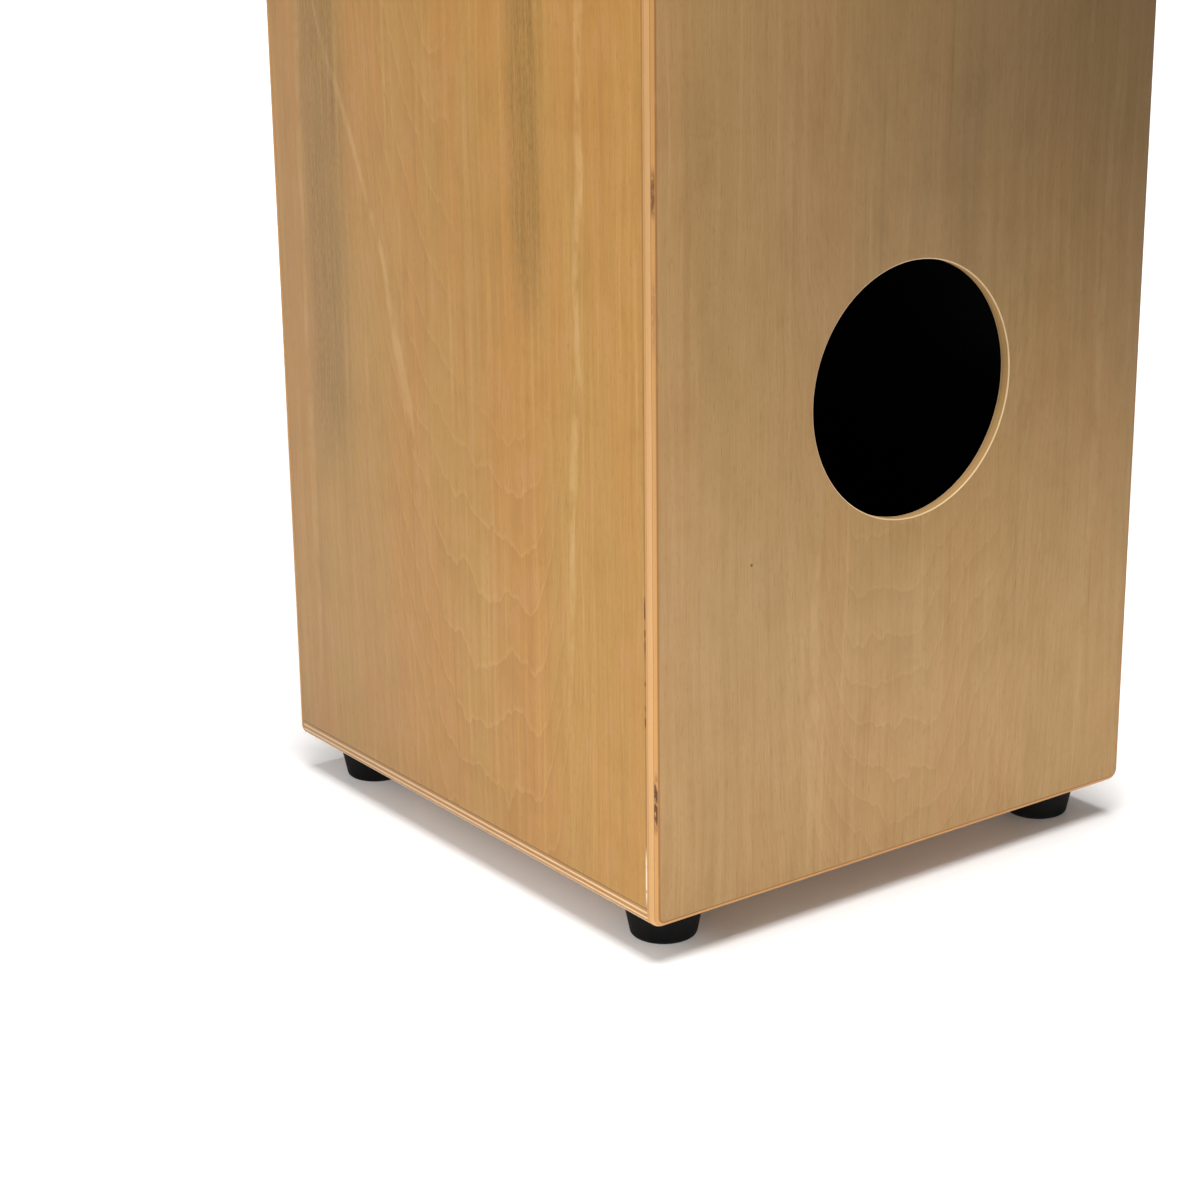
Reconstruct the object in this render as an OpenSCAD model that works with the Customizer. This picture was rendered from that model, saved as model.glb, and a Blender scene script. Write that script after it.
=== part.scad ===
// Cajon: a plywood box drum on four rubber feet. A thin playing panel closes the front, a thicker panel
// with a round sound hole closes the rear, and two snare strings behind the playing panel are tensioned
// by hex-socket bolts that are reached from underneath.
// Frame: the origin is on the floor under the middle of the box, +Z is up, the playing panel faces -Y,
// the sound hole faces +Y, and +X is the left hand of the seated player.

/* [Body] */
// Width across the two side panels
body_w = 300; // [280:1:330]
// Depth from the playing panel's face to the rear panel's face
body_d = 315; // [300:1:330]
// Height from the floor to the seat
overall_h = 480; // [450:1:520]
// Radius of the body's four long edges and of the front and rear panels' corners
corner_r = 6; // [5:0.5:8]

/* [Panels] */
// Thickness of each side panel
side_t = 9; // [8:0.5:12]
// Thickness of the seat panel
top_t = 12; // [9:0.5:15]
// Thickness of the bottom panel
bottom_t = 9; // [8:0.5:12]
// Thickness of the rear panel
rear_t = 5.5; // [5:0.5:8]
// Round-over on the rear panel's outer edge
rear_edge_r = 4; // [2:0.5:4.5]
// Thickness of the playing panel
playing_t = 3; // [2.5:0.1:4]
// Round-over on the playing panel's outer edge
playing_edge_r = 1.5; // [0.5:0.1:2]

/* [Sound hole] */
// Diameter of the sound hole
sound_hole_d = 120; // [100:1:130]
// Height of the sound hole's centre above the floor
sound_hole_z = 246; // [220:1:300]
// Width of the bevel round the sound hole's outer rim
sound_hole_bevel = 0.8; // [0.2:0.1:1.5]

/* [Battens] */
// Side of the square battens that the playing panel is screwed to
front_batten = 15; // [14:0.5:18]
// Side of the square battens behind the rear panel and along the seat and bottom joints
rear_batten = 12; // [10:0.5:15]

/* [Feet] */
// Height of the rubber feet
foot_h = 19; // [16:0.5:25]
// Diameter of a foot against the bottom panel
foot_top_d = 38.8; // [34:0.1:42]
// Diameter of a foot on the floor
foot_floor_d = 31.2; // [28:0.1:33]
// Radius round a foot's lower rim
foot_rim_r = 1.5; // [0.5:0.1:2.5]
// Distance from a foot's centre to the nearer side face
foot_inset_x = 28.5; // [24:0.5:40]
// Distance from a foot's centre to the nearer front or rear face
foot_inset_y = 30.5; // [26:0.5:45]
// Diameter of the recess in a foot for its screw and washer
foot_recess_d = 13; // [12:0.5:16]
// Depth of that recess
foot_recess_h = 8; // [6:0.5:10]

/* [Playing panel screws] */
// Diameter of a screw's countersunk head
panel_screw_head_d = 7.2; // [6:0.1:8]
// Diameter of a screw's shank
panel_screw_d = 3.5; // [3:0.1:4]
// Length of a screw
panel_screw_l = 16; // [12:1:16]
// Screws between the corners of a horizontal edge
screws_across = 3; // [1:2:3]
// Screws between the corners of a vertical edge
screws_up = 4; // [3:1:6]

/* [Snare strings] */
// Diameter of a string
string_d = 1; // [0.8:0.1:1.2]
// Gap between the strings and the back of the playing panel
string_gap = 0.3; // [0.2:0.1:0.4]
// Distance of the outer anchor screws from the middle
outer_anchor_x = 95; // [80:1:100]
// Distance of the inner anchor screws from the middle
inner_anchor_x = 25; // [15:1:30]
// Height of the lower string bridge above the floor
lower_bridge_z = 100; // [98:1:110]
// Distance of the upper string bridge below the anchor bar
upper_bridge_drop = 14; // [10:1:20]
// Diameter of the two string bridges
bridge_d = 8; // [7:0.5:9]

/* [Tuning bolts] */
// Distance of each tuning bolt from the middle
bolt_x = 45; // [40:1:50]
// Nominal thread diameter of a tuning bolt
bolt_d = 6; // [6:1:6]
// Length of a tuning bolt under its head
bolt_l = 60; // [60:1:60]
// Diameter of a tuning bolt's head
bolt_head_d = 10; // [10:0.5:10]
// Width across the flats of a tuning bolt's hex socket
bolt_socket_af = 5; // [5:0.5:5]
// Height that a string carrier travels from tight to slack strings
carrier_travel = 10; // [8:1:10]

/* [Hidden] */
$fn = 72;

cut = 1;              // how far a cutting shape runs past the face it opens
running_gap = 0.05;   // radial play of a shaft in its hole
pilot_gap = 0.02;     // radial play of a screw's shank in its pilot hole

// The box, from its outer faces inwards
half_w = body_w / 2;
half_d = body_d / 2;
inner_half_w = half_w - side_t;
carcass_front = -half_d + playing_t;
carcass_rear = half_d - rear_t;
bottom_z = foot_h;
floor_z = foot_h + bottom_t;
ceiling_z = overall_h - top_t;
body_h = overall_h - foot_h;
front_batten_rear = carcass_front + front_batten;
rear_batten_front = carcass_rear - rear_batten;

// The playing panel's screws, on the centre lines of the battens behind it
panel_screw_head_h = 2;
batten_line_x = inner_half_w - front_batten / 2;
batten_low_z = floor_z + front_batten / 2;
batten_high_z = ceiling_z - front_batten / 2;
across_step = 2 * batten_line_x / (screws_across + 1);
up_step = (batten_high_z - batten_low_z) / (screws_up + 1);
upright_screws = [
    for (x = [-batten_line_x, batten_line_x], i = [0:screws_up + 1]) [x, batten_low_z + i * up_step]
];
level_screws = [
    for (z = [batten_low_z, batten_high_z], i = [1:screws_across]) [-batten_line_x + i * across_step, z]
];

// The feet and what holds them
foot_spots = [for (x = [-1, 1], y = [-1, 1]) [x * (half_w - foot_inset_x), y * (half_d - foot_inset_y)]];
foot_screw_d = 4;
foot_screw_head_d = 8;
foot_screw_head_h = 2.8;
foot_screw_end_z = floor_z - 1;
foot_washer_d = 12;
foot_washer_t = 1;
foot_washer_z = foot_recess_h - foot_washer_t;

// The tuning bolts stand in the middle of the front bottom batten
bolt_y = carcass_front + front_batten / 2;
bolt_head_h = 6;
bolt_socket_h = 3;
tuner_washer_t = 0.95;
tuner_washer_d = 12.4;
bolt_well_d = 13.2;
bolt_head_top_z = floor_z - 1;
bolt_head_bevel = 0.6;

// The tuner block, with a slot for each string carrier
block_half_w = 75;
block_z = floor_z + front_batten;
block_h = 45;
block_front = carcass_front + 2.5;
slot_half_w = 8;
slot_floor_z = block_z + 12;
slot_rear = bolt_y + 4.9;
carrier_gap = 0.2;
carrier_half_w = slot_half_w - carrier_gap;
carrier_h = 10;
carrier_z = slot_floor_z + 3;
carrier_front = carcass_front + 1.5;
carrier_rear = slot_rear - carrier_gap;

// The strings: anchor bar, bridges, and the runs between them
string_r = string_d / 2;
string_y = carcass_front + string_gap + string_r;
string_hole_r = string_r + 0.15;
string_hole_x = 4.7;
string_hole_y = carrier_front + 1.8;
string_loop_z = carrier_z - string_r - 0.2;
bar_h = 14;
bar_z = ceiling_z - front_batten - bar_h;
bar_front = carcass_front + 3.5;
bar_rear = carcass_front + front_batten;
anchor_z = bar_z + 7;
anchor_screw_d = 3;
anchor_screw_head_d = 7;
anchor_screw_head_h = 1.6;
anchor_screw_l = 10;
anchor_string_x = anchor_screw_d / 2 + string_r;
upper_bridge_z = bar_z - upper_bridge_drop;
bridge_y = string_y + string_r + bridge_d / 2 + 0.02;

// Colours
birch = [0.78, 0.62, 0.42];
face_birch = [0.74, 0.60, 0.41];
pine = [0.85, 0.72, 0.50];
beech = [0.72, 0.50, 0.33];
rubber = [0.06, 0.06, 0.06];
steel = [0.62, 0.63, 0.65];
dark_steel = [0.14, 0.14, 0.15];
brass = [0.72, 0.58, 0.30];

// ---- Shared shapes ----

// A flat rectangle with round corners, centred on the origin
module rounded_rectangle(w, h, r) {
    square([w - 2 * r, h], center = true);
    square([w, h - 2 * r], center = true);
    for (x = [-1, 1], y = [-1, 1])
        translate([x * (w / 2 - r), y * (h / 2 - r)]) circle(r = r);
}

// The body's outline seen from the front, drawn out from y0 to y1
module body_outline(y0, y1) {
    translate([0, y1, bottom_z + body_h / 2])
        rotate([90, 0, 0])
            linear_extrude(y1 - y0) rounded_rectangle(body_w, body_h, corner_r);
}

// A box between two corners
module block(low, high) {
    translate(low) cube(high - low);
}

// Section of a plate w wide and t thick whose two upper edges are rounded
module eased_section(w, t, r) {
    translate([-w / 2, 0]) square([w, t - r]);
    translate([-w / 2 + r, 0]) square([w - 2 * r, t]);
    intersection() {
        for (side = [-1, 1])
            translate([side * (w / 2 - r), t - r]) circle(r = r);
        translate([-w / 2, 0]) square([w, t]);
    }
}

// A plate lying on z = 0 with round corners and a rounded upper edge
module eased_plate(w, h, t, plate_r, edge_r) {
    rotate([90, 0, 0])
        translate([0, 0, -h / 2 + plate_r]) linear_extrude(h - 2 * plate_r) eased_section(w, t, edge_r);
    rotate([90, 0, 90])
        translate([0, 0, -w / 2 + plate_r]) linear_extrude(w - 2 * plate_r) eased_section(h, t, edge_r);
    for (x = [-1, 1], y = [-1, 1])
        translate([x * (w / 2 - plate_r), y * (h / 2 - plate_r), 0])
            rotate_extrude() intersection() {
                eased_section(2 * plate_r, t, edge_r);
                square([plate_r, t]);
            }
}

// The unit vector along v
function unit(v) = v / norm(v);

// The direction of a wire at point i of its path, halfway between its two runs at a bend
function heading(path, i) =
    i == 0 ? unit(path[1] - path[0]) :
    i == len(path) - 1 ? unit(path[i] - path[i - 1]) :
    unit(unit(path[i] - path[i - 1]) + unit(path[i + 1] - path[i]));

// How much wider a mitred bend at point i is than the wire
function mitre(path, i) =
    i == 0 || i == len(path) - 1 ? 1 : 1 / (heading(path, i) * unit(path[i + 1] - path[i]));

// The ring of points round the wire at point i, for a path that never runs along Y
function wire_ring(path, i, r, sides) =
    let (along = heading(path, i), across = unit(cross(along, [0, 1, 0])), up = cross(along, across))
    [for (k = [0:sides - 1])
        path[i] + r * (mitre(path, i) * cos(k * 360 / sides) * across + sin(k * 360 / sides) * up)];

// A wire of radius r swept along a path
module wire(path, r, sides = 8) {
    last = len(path) - 1;
    polyhedron(
        points = [for (i = [0:last]) each wire_ring(path, i, r, sides)],
        faces = concat(
            [[for (k = [0:sides - 1]) k]],
            [[for (k = [sides - 1:-1:0]) last * sides + k]],
            [for (i = [0:last - 1], k = [0:sides - 1])
                [i * sides + k, (i + 1) * sides + k, (i + 1) * sides + (k + 1) % sides,
                 i * sides + (k + 1) % sides]]
        )
    );
}

// A flat ring lying on z = 0
module washer(outer_d, inner_d, t) {
    difference() {
        cylinder(h = t, d = outer_d);
        translate([0, 0, -cut]) cylinder(h = t + 2 * cut, d = inner_d);
    }
}

// A cross-shaped driver recess, sunk below z = 0
module cross_recess(size, deep) {
    arm = size / 4;
    for (turn = [0, 90])
        rotate(turn) translate([-size / 2, -arm / 2, -deep]) cube([size, arm, deep + cut]);
}

// ---- Panels ----

module side_panel(side) {
    color(birch)
        block([side > 0 ? inner_half_w : -half_w, carcass_front, floor_z],
              [side > 0 ? half_w : -inner_half_w, carcass_rear, ceiling_z]);
}

module top_panel() {
    color(birch) intersection() {
        body_outline(carcass_front, carcass_rear);
        block([-body_w, carcass_front, ceiling_z], [body_w, carcass_rear, overall_h + cut]);
    }
}

module bottom_panel() {
    color(birch) difference() {
        intersection() {
            body_outline(carcass_front, carcass_rear);
            block([-body_w, carcass_front, bottom_z - cut], [body_w, carcass_rear, floor_z]);
        }
        for (spot = foot_spots)
            translate([spot.x, spot.y, bottom_z - cut])
                cylinder(h = foot_screw_end_z - bottom_z + cut, d = foot_screw_d + 2 * pilot_gap);
        for (side = [-1, 1])
            translate([side * bolt_x, bolt_y, bottom_z - cut]) cylinder(h = bottom_t + 2 * cut, d = bolt_well_d);
    }
}

module rear_panel() {
    color(face_birch) difference() {
        translate([0, carcass_rear, bottom_z + body_h / 2])
            rotate([-90, 0, 0]) eased_plate(body_w, body_h, rear_t, corner_r, rear_edge_r);
        translate([0, carcass_rear - cut, sound_hole_z])
            rotate([-90, 0, 0]) cylinder(h = rear_t + 2 * cut, d = sound_hole_d);
        translate([0, half_d - sound_hole_bevel, sound_hole_z])
            rotate([-90, 0, 0]) cylinder(h = 2 * sound_hole_bevel, d1 = sound_hole_d,
                                         d2 = sound_hole_d + 4 * sound_hole_bevel);
    }
}

module playing_panel() {
    color(face_birch) difference() {
        translate([0, carcass_front, bottom_z + body_h / 2])
            rotate([90, 0, 0]) eased_plate(body_w, body_h, playing_t, corner_r, playing_edge_r);
        for (spot = concat(upright_screws, level_screws))
            translate([spot.x, carcass_front, spot.y]) rotate([90, 0, 0]) {
                translate([0, 0, -cut]) cylinder(h = playing_t + 2 * cut, d = panel_screw_d + 2 * pilot_gap);
                translate([0, 0, playing_t - panel_screw_head_h])
                    cylinder(h = panel_screw_head_h, d1 = panel_screw_d, d2 = panel_screw_head_d + 2 * pilot_gap);
                translate([0, 0, playing_t - pilot_gap]) cylinder(h = cut, d = panel_screw_head_d + 2 * pilot_gap);
            }
    }
}

// ---- Battens ----

// Pilot holes for the playing panel's screws
module panel_screw_pilots(spots) {
    for (spot = spots)
        translate([spot.x, carcass_front - cut, spot.y])
            rotate([-90, 0, 0]) cylinder(h = panel_screw_l - playing_t + cut + pilot_gap,
                                         d = panel_screw_d + 2 * pilot_gap);
}

module front_upright_batten(side) {
    near_x = side > 0 ? inner_half_w - front_batten : -inner_half_w;
    color(pine) difference() {
        block([near_x, carcass_front, floor_z], [near_x + front_batten, front_batten_rear, ceiling_z]);
        panel_screw_pilots(upright_screws);
    }
}

module front_level_batten(low_z) {
    reach = inner_half_w - front_batten;
    color(pine) difference() {
        block([-reach, carcass_front, low_z], [reach, front_batten_rear, low_z + front_batten]);
        panel_screw_pilots(level_screws);
        children();
    }
}

module front_top_batten() {
    front_level_batten(ceiling_z - front_batten);
}

module front_bottom_batten() {
    front_level_batten(floor_z)
        for (side = [-1, 1])
            translate([side * bolt_x, bolt_y, floor_z - cut])
                cylinder(h = front_batten + 2 * cut, d = bolt_d + 2 * running_gap);
}

module rear_upright_batten(side) {
    near_x = side > 0 ? inner_half_w - rear_batten : -inner_half_w;
    color(pine) block([near_x, rear_batten_front, floor_z], [near_x + rear_batten, carcass_rear, ceiling_z]);
}

module rear_level_batten(low_z) {
    reach = inner_half_w - rear_batten;
    color(pine) block([-reach, rear_batten_front, low_z], [reach, carcass_rear, low_z + rear_batten]);
}

module corner_strip(side, low_z) {
    near_x = side > 0 ? inner_half_w - rear_batten : -inner_half_w;
    color(pine) block([near_x, front_batten_rear, low_z], [near_x + rear_batten, rear_batten_front, low_z + rear_batten]);
}

// ---- Feet ----

// Half of a foot's section, from its axis out: a cone whose lower rim is rounded
module foot_section() {
    lean = atan((foot_top_d - foot_floor_d) / 2 / foot_h);
    rim_x = foot_floor_d / 2 - foot_rim_r * (1 - sin(lean)) / cos(lean);
    polygon([
        [0, 0],
        [rim_x, 0],
        [rim_x + foot_rim_r * cos(lean), foot_rim_r * (1 - sin(lean))],
        [foot_top_d / 2, foot_h],
        [0, foot_h]
    ]);
    translate([rim_x, foot_rim_r]) circle(r = foot_rim_r);
}

module foot(spot) {
    color(rubber) translate([spot.x, spot.y, 0]) difference() {
        rotate_extrude() foot_section();
        translate([0, 0, -cut]) cylinder(h = foot_recess_h + cut, d = foot_recess_d);
        translate([0, 0, -cut]) cylinder(h = foot_h + 2 * cut, d = foot_screw_d + 2 * pilot_gap);
    }
}

module foot_screws() {
    color(steel) for (spot = foot_spots)
        translate([spot.x, spot.y, foot_washer_z]) difference() {
            union() {
                cylinder(h = foot_screw_end_z - foot_washer_z, d = foot_screw_d);
                translate([0, 0, -foot_screw_head_h]) cylinder(h = foot_screw_head_h, d = foot_screw_head_d);
            }
            translate([0, 0, -foot_screw_head_h]) mirror([0, 0, 1]) cross_recess(4.4, 1.6);
        }
}

module foot_washers() {
    color(steel) for (spot = foot_spots)
        translate([spot.x, spot.y, foot_washer_z])
            washer(foot_washer_d, foot_screw_d + 2 * pilot_gap, foot_washer_t);
}

// ---- Fasteners of the playing panel ----

module playing_panel_screws() {
    color(dark_steel) for (spot = concat(upright_screws, level_screws))
        translate([spot.x, -half_d, spot.y]) rotate([90, 0, 0]) difference() {
            union() {
                translate([0, 0, -panel_screw_l]) cylinder(h = panel_screw_l, d = panel_screw_d);
                translate([0, 0, -panel_screw_head_h])
                    cylinder(h = panel_screw_head_h, d1 = panel_screw_d, d2 = panel_screw_head_d);
            }
            cross_recess(4, 1.2);
        }
}

// ---- Snare strings and their tuners ----

// Where the anchor screws stand, as x positions
anchor_xs = [for (side = [-1, 1], x = [inner_anchor_x, outer_anchor_x]) side * x];

module string_anchor_bar() {
    reach = inner_half_w - front_batten;
    color(beech) difference() {
        block([-reach, bar_front, bar_z], [reach, bar_rear, bar_z + bar_h]);
        for (x = anchor_xs)
            translate([x, bar_front - cut, anchor_z])
                rotate([-90, 0, 0]) cylinder(h = anchor_screw_l + cut, d = anchor_screw_d + 2 * pilot_gap);
    }
}

module anchor_screws() {
    head_y = bar_front - string_d;
    color(steel) for (x = anchor_xs)
        translate([x, head_y, anchor_z]) rotate([90, 0, 0]) difference() {
            union() {
                cylinder(h = anchor_screw_head_h, d = anchor_screw_head_d);
                translate([0, 0, -anchor_screw_l]) cylinder(h = anchor_screw_l, d = anchor_screw_d);
            }
            translate([0, 0, anchor_screw_head_h]) cross_recess(3.6, 0.9);
        }
}

module string_bridge(z) {
    reach = inner_half_w - front_batten;
    color(beech) translate([-reach, bridge_y, z]) rotate([0, 90, 0]) cylinder(h = 2 * reach, d = bridge_d);
}

module tuner_block() {
    color(beech) difference() {
        block([-block_half_w, block_front, block_z], [block_half_w, front_batten_rear, block_z + block_h]);
        for (side = [-1, 1]) {
            block([side * bolt_x - slot_half_w, block_front - cut, slot_floor_z],
                  [side * bolt_x + slot_half_w, slot_rear, block_z + block_h + cut]);
            translate([side * bolt_x, bolt_y, block_z - cut])
                cylinder(h = slot_floor_z - block_z + 2 * cut, d = bolt_d + 0.6);
        }
    }
}

module tuner_washers() {
    color(steel) for (side = [-1, 1])
        translate([side * bolt_x, bolt_y, floor_z - tuner_washer_t])
            washer(tuner_washer_d, bolt_d + 0.4, tuner_washer_t);
}

module tuning_bolt(side) {
    color(dark_steel) translate([side * bolt_x, bolt_y, bolt_head_top_z]) difference() {
        union() {
            cylinder(h = bolt_l, d = bolt_d);
            translate([0, 0, -bolt_head_h + bolt_head_bevel])
                cylinder(h = bolt_head_h - bolt_head_bevel, d = bolt_head_d);
            translate([0, 0, -bolt_head_h])
                cylinder(h = bolt_head_bevel, d1 = bolt_head_d - 2 * bolt_head_bevel, d2 = bolt_head_d);
        }
        translate([0, 0, -bolt_head_h - cut])
            cylinder(h = bolt_socket_h + cut, d = bolt_socket_af / cos(30), $fn = 6);
    }
}

module string_carrier(side) {
    color(brass) difference() {
        block([side * bolt_x - carrier_half_w, carrier_front, carrier_z],
              [side * bolt_x + carrier_half_w, carrier_rear, carrier_z + carrier_h]);
        translate([side * bolt_x, bolt_y, carrier_z - cut])
            cylinder(h = carrier_h + 2 * cut, d = bolt_d + 2 * running_gap);
        for (x = [-string_hole_x, string_hole_x])
            translate([side * bolt_x + x, string_hole_y, carrier_z - cut])
                cylinder(h = carrier_h + 2 * cut, r = string_hole_r);
    }
}

// A point on the straight line between a string's anchor and its carrier, at height z
function run_x(anchor_x, carrier_x, z) =
    carrier_x + (anchor_x - carrier_x) * (z - carrier_z - carrier_h) / (anchor_z - carrier_z - carrier_h);

// One string: down from its outer anchor, through its carrier, and up again to its inner anchor
module string(side) {
    outer_x = side * (outer_anchor_x - anchor_string_x);
    inner_x = side * (inner_anchor_x + anchor_string_x);
    outer_end = side * (bolt_x + string_hole_x);
    inner_end = side * (bolt_x - string_hole_x);
    anchor_y = bar_front - string_r;
    carrier_top = carrier_z + carrier_h;
    tail_z = anchor_z + 2;
    color(steel) wire([
        [run_x(outer_x, outer_end, tail_z), anchor_y, tail_z],
        [run_x(outer_x, outer_end, bar_z), anchor_y, bar_z],
        [run_x(outer_x, outer_end, upper_bridge_z), string_y, upper_bridge_z],
        [run_x(outer_x, outer_end, lower_bridge_z), string_y, lower_bridge_z],
        [outer_end, string_hole_y, carrier_top],
        [outer_end, string_hole_y, string_loop_z],
        [inner_end, string_hole_y, string_loop_z],
        [inner_end, string_hole_y, carrier_top],
        [run_x(inner_x, inner_end, lower_bridge_z), string_y, lower_bridge_z],
        [run_x(inner_x, inner_end, upper_bridge_z), string_y, upper_bridge_z],
        [run_x(inner_x, inner_end, bar_z), anchor_y, bar_z],
        [run_x(inner_x, inner_end, tail_z), anchor_y, tail_z]
    ], string_r);
}

// ---- Nodes ----

side_panel(1);  // left_side_panel
side_panel(-1);  // right_side_panel
top_panel();
bottom_panel();
rear_panel();
playing_panel();
front_upright_batten(1);  // front_left_batten
front_upright_batten(-1);  // front_right_batten
front_top_batten();
front_bottom_batten();
rear_upright_batten(1);  // rear_left_batten
rear_upright_batten(-1);  // rear_right_batten
rear_level_batten(ceiling_z - rear_batten);  // rear_top_batten
rear_level_batten(floor_z);  // rear_bottom_batten
corner_strip(1, ceiling_z - rear_batten);  // top_left_strip
corner_strip(-1, ceiling_z - rear_batten);  // top_right_strip
corner_strip(1, floor_z);  // bottom_left_strip
corner_strip(-1, floor_z);  // bottom_right_strip
foot(foot_spots[0]);  // front_right_foot
foot(foot_spots[1]);  // rear_right_foot
foot(foot_spots[2]);  // front_left_foot
foot(foot_spots[3]);  // rear_left_foot
foot_screws();
foot_washers();
playing_panel_screws();
string_anchor_bar();
anchor_screws();
string_bridge(upper_bridge_z);  // upper_string_bridge
string_bridge(lower_bridge_z);  // lower_string_bridge
tuner_block();
tuner_washers();
tuning_bolt(1);  // left_tuning_bolt
tuning_bolt(-1);  // right_tuning_bolt
string_carrier(1);  // left_string_carrier
string_carrier(-1);  // right_string_carrier
string(1);  // left_string
string(-1);  // right_string
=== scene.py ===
# %% [markdown]
# # A cajon, finished in Blender
#
# A cajon is a plywood box drum. The player sits on the top panel and strikes the thin playing panel at the
# front, and the sound leaves by the round hole in the rear panel. This lesson takes the box's engineering
# model as a fixed frame, and gives it eased plywood panels, rubber feet, real fasteners and their finishes.
#
# Its nodes keep their places: each new piece is put where the matching node is, rides on the same body, and
# hides that node.

# %% Load the frame
import math

import bpy
from mathutils import Matrix, Vector


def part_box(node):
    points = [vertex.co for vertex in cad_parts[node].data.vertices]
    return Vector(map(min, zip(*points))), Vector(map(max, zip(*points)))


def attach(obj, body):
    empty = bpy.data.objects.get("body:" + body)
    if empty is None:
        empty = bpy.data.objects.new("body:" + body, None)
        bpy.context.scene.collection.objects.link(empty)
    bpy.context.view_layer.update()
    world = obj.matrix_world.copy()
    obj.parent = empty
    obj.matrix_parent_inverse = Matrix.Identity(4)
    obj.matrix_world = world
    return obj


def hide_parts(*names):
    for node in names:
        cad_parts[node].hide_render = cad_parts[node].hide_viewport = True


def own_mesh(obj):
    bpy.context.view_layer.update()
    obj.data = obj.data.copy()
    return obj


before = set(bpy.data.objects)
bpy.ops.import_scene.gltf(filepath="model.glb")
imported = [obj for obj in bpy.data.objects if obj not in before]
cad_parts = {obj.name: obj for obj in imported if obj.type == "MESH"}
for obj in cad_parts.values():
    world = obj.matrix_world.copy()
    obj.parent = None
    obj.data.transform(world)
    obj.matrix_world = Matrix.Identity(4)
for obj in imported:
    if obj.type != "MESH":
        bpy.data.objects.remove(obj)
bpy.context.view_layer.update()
MM = 0.001

# %% [markdown]
# ## The camera
#
# A camera can be aimed by a constraint or by its own angles. Angles are used here, because the view has a
# slight tilt: a heading round the vertical, a pitch below the horizon, and a small roll round the line of
# sight. The three turns are multiplied in that order. The lens is long, so the box's upright edges stay
# almost parallel.

# %% Camera
CAMERA_PLACE = Vector((0.805, 1.019, 0.5276))
CAMERA_HEADING = 143.96
CAMERA_PITCH = 17.99
CAMERA_ROLL = -0.69
LENS_MM = 79.1


def turn(degrees, axis):
    return Matrix.Rotation(math.radians(degrees), 4, axis)


bpy.ops.object.select_all(action="DESELECT")
bpy.ops.object.camera_add()
camera = bpy.context.object
camera.name = "camera"
camera.data.lens = LENS_MM
camera.data.sensor_width = 36
aim = turn(CAMERA_HEADING, "Z") @ turn(90 - CAMERA_PITCH, "X") @ turn(CAMERA_ROLL, "Z")
camera.matrix_world = Matrix.Translation(CAMERA_PLACE) @ aim
bpy.context.scene.camera = camera
print("camera at", tuple(round(v, 3) for v in CAMERA_PLACE))

# %% [markdown]
# ## A small language for materials
#
# A material is a graph of nodes. Building it by hand-made links soon hides what it works out, so small
# classes are used. `Value` wraps a socket: adding or multiplying values adds the Math nodes, and `1 - mask`
# works too. `Graph` makes any other node from its type, its settings and what goes into its sockets, and
# `Finish` is the graph of one material.

# %% Values and finishes
class Value:
    """A number, vector or colour on its way through a material."""

    def __init__(self, finish, socket):
        self.finish = finish
        self.socket = socket

    def math(self, operation, *others):
        inputs = dict(enumerate((self, *others)))
        return self.finish.node("ShaderNodeMath", inputs, operation=operation)

    def __add__(self, other):
        return self.math("ADD", other)

    def __sub__(self, other):
        return self.math("SUBTRACT", other)

    def __rsub__(self, other):
        return self.finish.node("ShaderNodeMath", {0: other, 1: self}, operation="SUBTRACT")

    def __mul__(self, other):
        return self.math("MULTIPLY", other)

    def __truediv__(self, other):
        return self.math("DIVIDE", other)

    def __pow__(self, other):
        return self.math("POWER", other)

    def __abs__(self):
        return self.math("ABSOLUTE")

    __radd__ = __add__
    __rmul__ = __mul__

    def above(self, start, end):
        """0 below start, 1 above end, and smooth between them."""
        return self.finish.node(
            "ShaderNodeMapRange", {0: self, 1: start, 2: end}, interpolation_type="SMOOTHSTEP"
        )

    def near(self, centre, reach):
        """1 at centre, and fading to 0 a reach away from it."""
        return 1 - abs(self - centre).above(0.35 * reach, reach)


class Graph:
    """A node tree that values are made in."""

    def __init__(self, tree):
        self.tree = tree

    def node(self, kind, inputs=None, output=0, **settings):
        made = self.tree.nodes.new(kind)
        for setting, value in settings.items():
            setattr(made, setting, value)
        for socket, value in (inputs or {}).items():
            self.feed(made.inputs[socket], value)
        return Value(self, made.outputs[output])

    def feed(self, socket, value):
        if isinstance(value, Value):
            self.tree.links.new(value.socket, socket)
        elif isinstance(value, tuple) and len(value) == 3 and socket.type == "RGBA":
            socket.default_value = (*value, 1)
        else:
            socket.default_value = value

    def place(self):
        """The object's own x, y and z, as three values."""
        where = self.node("ShaderNodeTexCoord", output=3)
        return [self.node("ShaderNodeSeparateXYZ", {0: where}, output=axis) for axis in range(3)]

    def vector(self, x, y, z):
        return self.node("ShaderNodeCombineXYZ", {0: x, 1: y, 2: z})

    def noise(self, vector, scale=1, detail=2, roughness=0.5):
        inputs = {"Vector": vector, "Scale": scale, "Detail": detail, "Roughness": roughness}
        return self.node("ShaderNodeTexNoise", inputs)

    def mix(self, first, second, factor, blend="MIX"):
        inputs = {0: factor, 6: first, 7: second}
        return self.node("ShaderNodeMix", inputs, 2, data_type="RGBA", blend_type=blend)


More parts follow.
